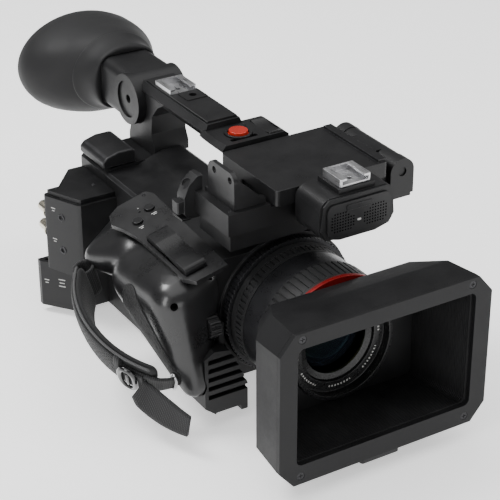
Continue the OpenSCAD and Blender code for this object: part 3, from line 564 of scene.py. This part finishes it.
def grip():
    base = grip_body()
    dn = frame_rot(4, -13.5) @ Vector((0, 0, 1))
    dp = P(-48, 104, 43.8) + dn * -0.003
    bm = bmesh.new()
    bm.from_mesh(base)

    def cut(b, co, no):
        r = bmesh.ops.bisect_plane(b, geom=b.verts[:] + b.edges[:] + b.faces[:], plane_co=co, plane_no=no, clear_outer=True)
        return [e for e in r["geom_cut"] if isinstance(e, bmesh.types.BMEdge)]

    for co, no in ((P(-50.1, 0, 0), Vector((1, 0, 0))), (dp, dn)):
        edges = cut(bm, co, no)
        bmesh.ops.triangle_fill(bm, edges=edges, use_beauty=True)
    me = bpy.data.meshes.new("grip_skin")
    bmesh.ops.recalc_face_normals(bm, faces=bm.faces)
    bm.to_mesh(me)
    bm.free()
    o = piece("grip_skin", me, "body", ["body_satin", "body_satin_edge"], ["grip_shell"])

    # small screw well and thumb-wheel recess
    def cyl(co, axis, r, depth):
        b = bmesh.new()
        bmesh.ops.create_cone(b, cap_ends=True, segments=40, radius1=r, radius2=r, depth=depth)
        m_ = bpy.data.meshes.new("cutter")
        q = axis.to_track_quat("Z", "Y").to_matrix().to_4x4()
        b.transform(Matrix.Translation(co) @ q)
        b.to_mesh(m_)
        b.free()
        c = bpy.data.objects.new("cutter", m_)
        SC.collection.objects.link(c)
        return c

    cutters = [cyl(P(-56.2, 105.5, 2.5), Vector((1, 0, 0)), 0.0077, 0.0124), cyl(P(-80, 112, 23), Vector((math.sin(math.radians(-35)), -math.cos(math.radians(-35)), 0)), 0.0024, 0.024)]
    # well under the rocker
    b = bmesh.new()
    bmesh.ops.create_cube(b, size=1.0)
    mid, half_ = Vector((-16.5, 33, -3.5)), Vector((17.0, 52.0, 15.0))
    for v in b.verts:
        q = frame_rot(4, -13.5) @ Vector((mid.x + v.co.x * half_.x, mid.y + v.co.y * half_.y, mid.z + v.co.z * half_.z))
        v.co = P(-48 + q.x, 104 + q.y, 43.8 + q.z)
    wm = bpy.data.meshes.new("well")
    b.to_mesh(wm)
    b.free()
    well = bpy.data.objects.new("well", wm)
    SC.collection.objects.link(well)
    cutters.append(well)
    for c in cutters:
        b = o.modifiers.new("cut", "BOOLEAN")
        b.operation = "DIFFERENCE"
        b.solver = "EXACT"
        b.object = c
    bpy.context.view_layer.update()
    done = bpy.data.meshes.new_from_object(o.evaluated_get(bpy.context.evaluated_depsgraph_get()))
    o.modifiers.clear()
    o.data = done
    for c in cutters:
        bpy.data.objects.remove(c)
    es = o.modifiers.new("split", "EDGE_SPLIT")
    es.split_angle = math.radians(40)

    # grained pad: a patch of the same skin, lifted and cut to its outline
    pts = []
    for cy_, cz_, r in ((146, 14, 9), (112, -26, 9), (150, -10, 13)):
        pts += [(cy_ + r * math.cos(2 * math.pi * k / 28), cz_ + r * math.sin(2 * math.pi * k / 28)) for k in range(28)]
    pts = sorted(set(pts))

    def half(ps):
        h = []
        for p in ps:
            while len(h) > 1 and (h[-1][0] - h[-2][0]) * (p[1] - h[-2][1]) - (h[-1][1] - h[-2][1]) * (p[0] - h[-2][0]) <= 0:
                h.pop()
            h.append(p)
        return h[:-1]

    hull = half(pts) + half(pts[::-1])
    bm = bmesh.new()
    bm.from_mesh(base)
    bmesh.ops.recalc_face_normals(bm, faces=bm.faces)
    bm.normal_update()
    for v in bm.verts:
        v.co += v.normal * 0.0005
    cut(bm, P(-65.5, 0, 0), Vector((1, 0, 0)))
    cut(bm, dp - dn * 0.002, dn)
    for a, b in zip(hull, hull[1:] + hull[:1]):
        d = Vector((b[0] - a[0], b[1] - a[1]))
        if d.length > 0.05:
            cut(bm, P(0, a[0], a[1]), Vector((0, d.y, -d.x)).normalized())
    me = bpy.data.meshes.new("grip_grain")
    bm.to_mesh(me)
    bm.free()
    g = piece("grip_grain", me, "body", ["leather_pad"], ["grip_pad"])
    so = g.modifiers.new("thick", "SOLIDIFY")
    so.thickness = 0.0012
    so.offset = -1
    es = g.modifiers.new("split", "EDGE_SPLIT")
    es.split_angle = math.radians(50)
    bpy.data.meshes.remove(base)


grip()


# ---- hand strap
T22, T19 = math.radians(22), math.radians(19)


def SP(a, u, v, r=62.0):
    """point of the strap: angle a round the hand, u across the band, v outwards"""
    A = math.radians(a)
    rad = r + v * math.cos(T22) + u * math.sin(T22)
    h = -v * math.sin(T22) + u * math.cos(T22)
    x, y, z = rad * math.cos(A), rad * math.sin(A), h
    return P(-48 + x, 158.6 + y * math.cos(T19) - z * math.sin(T19), -13 + y * math.sin(T19) + z * math.cos(T19))


def band(name, a0, a1, u0, hu, v0, v1, mats, power=2.6, seg=110, n=44, crown=0.0, end=4.0, mat_of=None, bulge=None):
    """padded band: rounded section swept round the hand, with round closed ends"""
    rings, ul = [], []
    ts = [0.5 - 0.5 * math.cos(math.pi * i / seg) for i in range(seg + 1)]
    ts = [i / seg for i in range(seg + 1)]
    ends = [0.0005, 0.02, 0.06, 0.13, 0.24, 0.4, 0.6, 0.8]
    span = a1 - a0
    angs = [a0 + end * e for e in ends] + [a0 + end + (span - 2 * end) * t for t in ts] + [a1 - end * e for e in reversed(ends)]
    for a in angs:
        s = min(1.0, (a - a0) / end, (a1 - a) / end)
        f = math.sqrt(max(0.0, 1 - (1 - s) ** 2))
        fu, fv = 0.45 + 0.55 * f, 0.08 + 0.92 * f
        if s < 0.001:
            fu, fv = 0.44, 0.05
        g = 1.0 + (bulge(a) if bulge else 0.0)
        vm, hv = (v0 + v1) / 2, (v1 - v0) / 2
        r = []
        for k in range(n):
            th = 2 * math.pi * k / n
            c, s_ = math.cos(th), math.sin(th)
            cu = math.copysign(abs(c) ** (2 / power), c)
            cv = math.copysign(abs(s_) ** (2 / 2.2), s_)
            bump_ = crown * (1 - min(1, abs(cu)) ** 2) if s_ > 0 else 0
            r.append(SP(a, u0 + hu * fu * cu, vm + hv * fv * g * cv + bump_ * fv))
        rings.append(r)
    per = 2 * (hu * 2 + (v1 - v0))
    k2 = math.radians(1) * 66

    def uvs(i, k):
        i = min(i, len(angs) - 1)
        return (angs[i] * k2, k * per / n)

    return loft(name, rings, cap=(True, True), uvs=uvs, mat_of=mat_of)


def tube(name, pts, r, n=12):
    """round cord through points, closed at both ends"""
    rings, L, s = [], [], 0.0
    for i, p in enumerate(pts):
        t = (pts[min(i + 1, len(pts) - 1)] - pts[max(i - 1, 0)]).normalized()
        side = t.cross(Vector((0.3, 0.2, 1))).normalized()
        up = side.cross(t)
        if i:
            s += (p - pts[i - 1]).length * 1000
        L.append(s)
        f = 0.3 if i in (0, len(pts) - 1) else 1.0
        rings.append([p + (side * math.cos(2 * math.pi * k / n) + up * math.sin(2 * math.pi * k / n)) * r * f for k in range(n)])
    return loft(name, rings, cap=(True, True), uvs=lambda i, k: (L[min(i, len(L) - 1)], k * 2 * math.pi * r * 1000 / n))


def ribbon(name, path, th, nu=8):
    """flat webbing: path is a list of (centre, half-width vector, normal), closed all round"""
    rings, L, s = [], [], 0.0
    for i, (c, w, nrm) in enumerate(path):
        if i:
            s += (c - path[i - 1][0]).length * 1000
        L.append(s)
        top = [c + w * (2 * k / nu - 1) * 0.985 + nrm * th / 2 for k in range(nu + 1)]
        bot = [c + w * (1 - 2 * k / nu) * 0.985 - nrm * th / 2 for k in range(nu + 1)]
        rings.append(top + [c + w * 1.0] + bot + [c - w * 1.0])
    m = len(rings[0])
    W = path[0][1].length * 2000

    def uvs(i, k):
        k = k % m
        if k <= nu:
            q = W * k / nu
        elif k == nu + 1:
            q = W * 1.01
        elif k <= 2 * nu + 2:
            q = W * (1 - (k - nu - 2) / nu)
        else:
            q = 0
        return (L[min(i, len(L) - 1)], q)

    return loft(name, rings, cap=(True, True), uvs=uvs)


def strap():
    inner = piece("strap_pad_inner", band("strap_pad_inner", 139.6, 226.5, 0, 17.6, -0.2, 5.6, None, power=3.4, crown=0.0), "body", ["pad_cloth"], ["strap_pad"])
    cover = piece("strap_pad_cover", band("strap_pad_cover", 140.6, 206.0, -0.3, 16.6, 4.6, 8.4, None, power=3.0, crown=1.0), "body", ["mesh_cloth"])
    # light piping along both long edges
    for nm, u in (("top", 17.0), ("low", -17.2)):
        pts = [SP(141 + 82 * i / 90, u * (1 - 0.0), 5.2) for i in range(91)]
        piece("strap_piping_" + nm, tube("strap_piping_" + nm, pts, 0.00085), "body", ["piping_cloth"])
    # collar at the end of the sleeve
    piece("strap_collar", band("strap_collar", 202.6, 207.6, -0.2, 17.4, 3.8, 9.2, None, power=3.0, seg=10, end=1.6), "body", ["web_cloth"])

    def at(a, v, hw=10.5, tw=0.0, u0=0.0):
        c = SP(a, u0, v)
        w = (SP(a, u0 + 1, v) - c).normalized() * hw / 1000
        nr = (SP(a, u0, v + 1) - c).normalized()
        return (c, w, nr)

    # band out of the sleeve, under the slider, to the metal loop below the grip
    path = [at(205.5 + i * 0.9, 6.6 - 0.0 * i) for i in range(0, 24)]
    path += [at(227.5 + i * 1.0, 6.6 - 0.45 * i, 10.5 - 0.25 * i) for i in range(1, 10)]
    piece("strap_web_front", ribbon("strap_web_front", path, 0.0017), "body", ["web_cloth"], ["strap_web"])
    # second layer folded back over the slider
    path = [at(209 + i * 0.8, 8.3 + 0.5 * math.sin(i / 14 * math.pi), 10.3) for i in range(15)]
    piece("strap_web_fold", ribbon("strap_web_fold", path, 0.0016), "body", ["web_cloth"])
    # loose tail
    cs = [(-104.6, 116.6, -33.4, 8.6), (-104.4, 113.4, -35.0, 9.0), (-102.9, 109.0, -37.0, 9.6), (-100.6, 102.5, -39.2, 9.8), (-97.8, 95.0, -41.4, 9.6), (-94.6, 87.5, -43.3, 9.0), (-91.6, 80.4, -44.4, 8.2), (-90.6, 78.4, -44.8, 8.0)]
    pts = []
    for i in range(len(cs) - 1):
        p0, p1, p2, p3 = cs[max(i - 1, 0)], cs[i], cs[i + 1], cs[min(i + 2, len(cs) - 1)]
        for j in range(5):
            f = j / 5
            pts.append([0.5 * (2 * b + (c - a) * f + (2 * a - 5 * b + 4 * c - d) * f * f + (3 * b - a - 3 * c + d) * f ** 3) for a, b, c, d in zip(p0, p1, p2, p3)])
    pts.append(list(cs[-1]))
    path = []
    for i, (x, y, z, hw) in enumerate(pts):
        f = i / (len(pts) - 1)
        a, b = pts[max(i - 1, 0)], pts[min(i + 1, len(pts) - 1)]
        t = Vector((b[0] - a[0], b[1] - a[1], b[2] - a[2])).normalized()
        w = Vector((0.32 - 0.42 * f, 0.2 * math.sin(f * 3.0), 1.0))
        w = (w - t * w.dot(t)).normalized()
        path.append((P(x, y, z), w * hw / 1000, t.cross(w).normalized()))
    piece("strap_tail", ribbon("strap_tail", path, 0.0019), "body", ["web_cloth"])
    # rear loop round the tip of the grip
    path = []
    for i in range(41):
        ph = 2 * math.pi * i / 40
        rr_ = 6.4
        a = 135.2 + math.degrees(rr_ * 1.05 * math.cos(ph) / 67)
        v = 5.0 + rr_ * math.sin(ph)
        c = SP(a, 0, v)
        w = (SP(a, 1, v) - c).normalized() * 0.0105
        tq = (SP(a + 0.1, 0, v) - c).normalized()
        nq = (SP(a, 0, v + 1) - c).normalized()
        path.append((c, w, (tq * math.cos(ph) + nq * math.sin(ph)).normalized()))
    piece("strap_loop", ribbon("strap_loop", path, 0.0019), "body", ["web_cloth"])
    path = [at(134.5 + i * 0.9, 7.0 + 3.6 * math.exp(-((i - 1) / 3.0) ** 2), 10.4) for i in range(12)]
    piece("strap_web_rear", ribbon("strap_web_rear", path, 0.0017), "body", ["web_cloth"])
    # oval slider
    rings = []
    n = 64
    sect = [(1.0, 0.0), (1.03, 0.8), (0.98, 1.7), (0.88, 2.3), (0.74, 2.5), (0.62, 2.3), (0.54, 1.8), (0.52, 1.0), (0.54, 0.3), (0.62, 0.0), (0.8, -0.2)]
    for k in range(n):
        th = 2 * math.pi * k / n
        c, s_ = math.cos(th), math.sin(th)
        ou = 15.0 * math.copysign(abs(c) ** 0.8, c)
        ot = 7.6 * math.copysign(abs(s_) ** 0.8, s_)
        r = []
        for f, z in sect:
            fu = 1 - (1 - f) * 0.42
            u, tt = ou * fu, ot * f
            r.append(SP(212 + math.degrees(tt / 71.5), u - 1.0, 8.6 + z + 0.9 * (1 - (u / 15) ** 2)))
        rings.append(r)
    piece("strap_slider", loft("strap_slider", rings, loop_rings=True), "body", ["gloss_black"], ["strap_hardware"])
    # bar across the slider
    pts = [SP(212.2, -9.5 + i * 1.7, 9.5 + 0.9 * (1 - ((i - 5) / 5.5) ** 2)) for i in range(11)]
    piece("strap_slider_bar", tube("strap_slider_bar", pts, 0.0013), "body", ["gloss_black"])
    # metal loop at the foot of the grip
    pts = []
    for i in range(33):
        ph = 2 * math.pi * i / 32
        c = SP(235.6, 0, 2.4)
        w = (SP(235.6, 1, 2.4) - c).normalized()
        nq = (SP(235.6, 0, 3.4) - c).normalized()
        tq = w.cross(nq)
        pts.append(c + w * 0.0088 * math.copysign(abs(math.cos(ph)) ** 0.7, math.cos(ph)) + (tq * 0.6 + nq * 0.8) * 0.0032 * math.copysign(abs(math.sin(ph)) ** 0.7, math.sin(ph)))
    piece("strap_ring", tube("strap_ring", pts, 0.00095, 10), "body", ["steel"])


strap()


# ---- fine ribs inside the hood
def rr_ring(x, zb, zt, r, y, n=6):
    out = []
    for cx_, cz_, a0 in ((x - r, zt - r, 0), (-x + r, zt - r, 90), (-x + r, zb + r, 180), (x - r, zb + r, 270)):
        for k in range(n + 1):
            a = math.radians(a0 + 90 * k / n)
            out.append(P(cx_ + r * math.cos(a), y, cz_ + r * math.sin(a)))
    return out


def hood_ribs():
    rings = []
    count, y0, y1 = 36, 3.15, 50.0
    p = (y1 - y0) / count
    for i in range(count):
        for dy, off in ((0.0, 0.08), (0.58, 0.08), (0.64, 0.62), (0.98, 0.62)):
            y = y0 + (i + dy) * p
            t = (y - 3) / 47.2
            x, zb, zt, r = 62.8 - 9.5 * t, -37.2 - 0.45 * t, 41.8 - 2.5 * t, 4
            rings.append(rr_ring(x - off, zb + off, zt - off, r, y))
    me = loft("hood_ribs", rings)
    for f in me.polygons:
        f.flip()
    # the ribs use the lighter, painted-light copy of the hood plastic
    piece("hood_ribs", me, "body", ["hood_inner_painted_light"], smooth=False)


hood_ribs()


# ---- perforated microphone face
def mic_face():
    bm = bmesh.new()

    def loop(pts, y):
        vs = [bm.verts.new(P(x, y, z)) for x, z in pts]
        return vs, [bm.edges.new((vs[i], vs[(i + 1) % len(vs)])) for i in range(len(vs))]

    out = []
    for cx_, cz_, a0 in ((39.0, 83.5, 0), (3.0, 83.5, 90), (3.0, 72.0, 180), (39.0, 72.0, 270)):
        for k in range(9):
            a = math.radians(a0 + 90 * k / 8)
            out.append((cx_ + 4.85 * math.cos(a), cz_ + 4.85 * math.sin(a)))
    ov, oe = loop(out, 63.3)
    edges = list(oe)
    holes = []
    for side in (0, 1):
        for i in range(9):
            for j in range(7):
                x = 1.4 + i * 1.95 if side == 0 else 25.0 + i * 1.95
                z = 70.2 + j * 1.95
                q = i if side == 0 else 8 - i
                if j > 4 and q > 5 + (6 - j):
                    continue
                if (i in (0, 8)) and j in (0, 6):
                    continue
                hv, he = loop([(x + 0.58 * math.cos(2 * math.pi * k / 10), z + 0.58 * math.sin(2 * math.pi * k / 10)) for k in range(10)], 63.3)
                edges += he
                holes.append(hv)
    bmesh.ops.triangle_fill(bm, edges=edges, use_beauty=True)
    for f in bm.faces:
        f.material_index = 0
    for hv in holes:
        back = [bm.verts.new(v.co + Vector((0, 0.0012, 0))) for v in hv]
        for k in range(len(hv)):
            f = bm.faces.new((hv[k], hv[(k + 1) % len(hv)], back[(k + 1) % len(hv)], back[k]))
            f.material_index = 1
        bm.faces.new(back).material_index = 1
    back = [bm.verts.new(v.co + Vector((0, 0.0022, 0))) for v in ov]
    for k in range(len(ov)):
        bm.faces.new((ov[k], ov[(k + 1) % len(ov)], back[(k + 1) % len(ov)], back[k]))
    bmesh.ops.recalc_face_normals(bm, faces=bm.faces)
    me = bpy.data.meshes.new("mic_face")
    bm.to_mesh(me)
    bm.free()
    piece("mic_face", me, "body", ["panel_plastic", "gloss_black"], ["mic_grille"], smooth=False)
    # blank badge bar and status lamp
    for nm, x0, x1, z0, z1, r, y, mt in (("mic_badge", 11.5, 30.5, 82.6, 86.2, 1.2, 62.75, "lid_plastic"), ("mic_lamp", 19.6, 22.4, 74.0, 75.4, 0.7, 62.9, "white_ink")):
        rings = []
        for k, (dy, ins) in enumerate(((0.7, 0), (0.18, 0), (0.0, 0.2), (0.0, 0.6))):
            rings.append(rr_ring((x1 - x0) / 2 - ins, z0 + ins, z1 - ins, max(0.1, r - ins), y + dy, 4))
        rings = [[v + Vector(((x0 + x1) / 2000, 0, 0)) for v in rg] for rg in rings]
        piece(nm, loft(nm, rings, cap=(True, True)), "body", [mt], smooth=False)


mic_face()


# ---- small hardware: sockets, screws, printed marks
def lathe(name, c, axis, prof, body, mat, n=28):
    """profile of (radius, height along axis) in mm, turned round the axis at c"""
    ax = axis.normalized()
    s = ax.orthogonal().normalized()
    t = ax.cross(s)
    rings = [[c + (s * math.cos(2 * math.pi * k / n) + t * math.sin(2 * math.pi * k / n)) * r / 1000 + ax * h / 1000 for k in range(n)] for r, h in prof]
    return piece(name, loft(name, rings, cap=(True, True)), body, [mat])


def hardware():
    d = Vector((-0.908, -0.418, 0))
    for i, z in enumerate((17, -8)):
        c = P(-84.9, 262, z)
        lathe("socket_ring_%d" % i, c, d, [(2.7, -0.6), (2.75, 0.25), (2.5, 0.55), (1.75, 0.55), (1.55, 0.3), (1.5, -1.4), (0.2, -1.5)], "body", "black_metal")
    dn = frame_rot(4, -13.5) @ Vector((0, 0, 1))
    R = frame_rot(4, -13.5)

    def deck(x, y, z):
        v = R @ Vector((x, y, z))
        return P(-48 + v.x, 104 + v.y, 43.8 + v.z)

    for i, (x, y) in enumerate(((-24.0, 92.0), (-2.2, 100.0), (-2.0, 4.0))):
        screw("deck_screw_%d" % i, deck(x, y, 0.0), dn, 1.25)
    for i, (x, y, z, ax) in enumerate(((-58, 266, 33.5, (0, 0, 1)), (-82, 274.5, 33.5, (0, 0, 1)), (-46, 102.5, 80.5, (0, 0, 1)), (-24, 134, 80.5, (0, 0, 1)), (60, 133, 78.5, (0, 0, 1)))):
        screw("body_screw_%d" % i, P(x, y, z), Vector(ax), 1.3)
    for i, (y, z) in enumerate(((134, 0.5), (250, 0.5), (134, -49), (206, -49))):
        screw("side_screw_%d" % i, P(49, y, z), Vector((1, 0, 0)), 1.4)
    for i, (x, z) in enumerate(((-44, 36), (40, -56), (-44, -56))):
        screw("rear_screw_%d" % i, P(x, 300, z), Vector((0, 1, 0)), 1.4)
    for i, (x, y) in enumerate(((-36, 156), (33, 156), (-36, 288), (33, 288))):
        screw("base_screw_%d" % i, P(x, y, -66), Vector((0, 0, -1)), 1.5, flush=True)
    # printed marks: plain bars, no lettering
    bm = bmesh.new()

    def bar(c, a, b):
        bm.faces.new([bm.verts.new(c + q) for q in (-a - b, a - b, a + b, -a + b)])

    ex, ey = R @ Vector((1, 0, 0)) / 1000, R @ Vector((0, 1, 0)) / 1000
    for x, y, w in ((-6.6, 78.6, 1.9), (-6.6, 77.2, 1.2), (-20.0, 71.8, 1.8), (-20.0, 70.4, 1.1), (-12.0, 90.2, 0.5)):
        bar(deck(x, y, 0.03), ex * w, ey * 0.32)
    tv, tz = Vector((-0.418, 0.908, 0)) / 1000, Vector((0, 0, 1)) / 1000
    for y, z, w in ((268.2, 22.5, 1.8), (268.2, 20.6, 1.1), (268.2, -1.0, 1.9), (268.2, -2.9, 1.2)):
        x = -79 - 11.5 * (y - 249) / 25
        bar(P(x, y, z) + Vector((-0.908, -0.418, 0)) * 0.00004, tv * w, tz * 0.35)
    nv = Vector((-0.795, -0.606, 0))
    for y, z, w in ((274, -38, 2.6), (274, -40.6, 2.0), (274, -43.2, 2.6), (283.5, -40, 1.8), (283.5, -42.2, 1.2)):
        x = -76 - 16 * (y - 266) / 21
        bar(P(x, y, z) + nv * 0.00004, Vector((-0.606, 0.795, 0)) / 1000 * w, tz * 0.4)
    for i in range(5):
        bar(P(49.03, 142.5 + i * 13, -22.4), Vector((0, 0.001, 0)) * 2.2, tz * 0.3)
    for i in range(4):
        bar(P(49.03, 142 + i * 13, -35.6), Vector((0, 0.001, 0)) * 1.8, tz * 0.3)
    for k in range(9):
        a = math.radians(-135 + k * 33.75)
        for y0, rr_ in ((150, 6.6), (180, 6.6)):
            q = Vector((0, math.sin(a), math.cos(a)))
            q2 = Vector((0, math.cos(a), -math.sin(a)))
            bar(P(49.03, y0, -3) + q * rr_ / 1000, q * 0.0006, q2 * 0.00018)
    for k in range(4):
        a = math.radians(-60 + k * 45)
        q = Vector((0, math.sin(a), math.cos(a)))
        q2 = Vector((0, math.cos(a), -math.sin(a)))
        bar(P(49.03, 228, -12) + q * 0.0128, q * 0.0008, q2 * 0.00025)
    me = bpy.data.meshes.new("printed_marks")
    bm.to_mesh(me)
    bm.free()
    piece("printed_marks", me, "body", ["white_ink"], smooth=False)


def screw(name, c, axis, r, flush=False):
    """cross-head screw: domed head with a cross-shaped recess made of sunk points"""
    ax = axis.normalized()
    s = ax.orthogonal().normalized()
    t = ax.cross(s)
    n = 24
    h = -0.15 if flush else 0.28
    rings = []
    for f, z in ((1.06, -0.5), (1.06, h - 0.12), (0.92, h), (0.6, h + 0.05), (0.5, h), (0.3, h - 0.1), (0.12, h - 0.2)):
        rg = []
        for k in range(n):
            th = 2 * math.pi * k / n
            arm = max(abs(math.cos(th)), abs(math.sin(th)))
            dip = 0.42 if (f < 0.62 and arm > 0.95) else 0.0
            rg.append(c + (s * math.cos(th) + t * math.sin(th)) * r * f / 1000 + ax * (z - dip) / 1000)
        rings.append(rg)
    return piece(name, loft(name, rings, cap=(True, True)), "body", ["black_metal"], smooth=False)


hardware()


# ------------------------------------------------------------------ studio
def studio():
    me = bpy.data.meshes.new("floor")
    bm = bmesh.new()
    bmesh.ops.create_grid(bm, x_segments=8, y_segments=8, size=6)
    bm.to_mesh(me)
    bm.free()
    fl = bpy.data.objects.new("floor", me)
    SC.collection.objects.link(fl)
    fl.location = (0, 0, -0.0005)
    m, t, b = nt("floor")
    b.inputs["Base Color"].default_value = (0.86, 0.86, 0.86, 1)
    b.inputs["Roughness"].default_value = 0.8
    b.inputs["Specular IOR Level"].default_value = 0.1
    b.inputs["Emission Color"].default_value = (1, 1, 1, 1)
    b.inputs["Emission Strength"].default_value = 0.7
    me.materials.append(m)
    w = bpy.data.worlds.new("studio")
    SC.world = w
    w.use_nodes = True
    bg = w.node_tree.nodes["Background"]
    bg.inputs[0].default_value = (1, 1, 1, 1)
    bg.inputs[1].default_value = WORLD

    def area(name, loc, target, size, power, sy=None):
        l = bpy.data.lights.new(name, "AREA")
        l.energy = power
        l.size = size
        if sy:
            l.shape = "RECTANGLE"
            l.size_y = sy
        o = bpy.data.objects.new(name, l)
        SC.collection.objects.link(o)
        o.location = loc
        o.rotation_mode = "QUATERNION"
        o.rotation_quaternion = (Vector(target) - Vector(loc)).to_track_quat("-Z", "Y")
        return o

    area("overhead", (0.0, 0.0, 2.6), (0, 0, 0), 4.0, 95)
    area("key_top", (-0.55, 0.45, 1.2), (0, 0, 0.08), 0.5, 14, 0.4)
    area("side_left", (-1.3, -0.5, 0.6), (0, 0, 0.08), 0.35, 9, 0.9)
    area("side_right", (1.2, -0.7, 0.8), (0, -0.05, 0.08), 0.5, 9, 0.8)
    area("front_low", (-0.1, -1.5, 0.35), (0, -0.1, 0.06), 0.8, 4, 0.4)


WORLD = 0.17
studio()
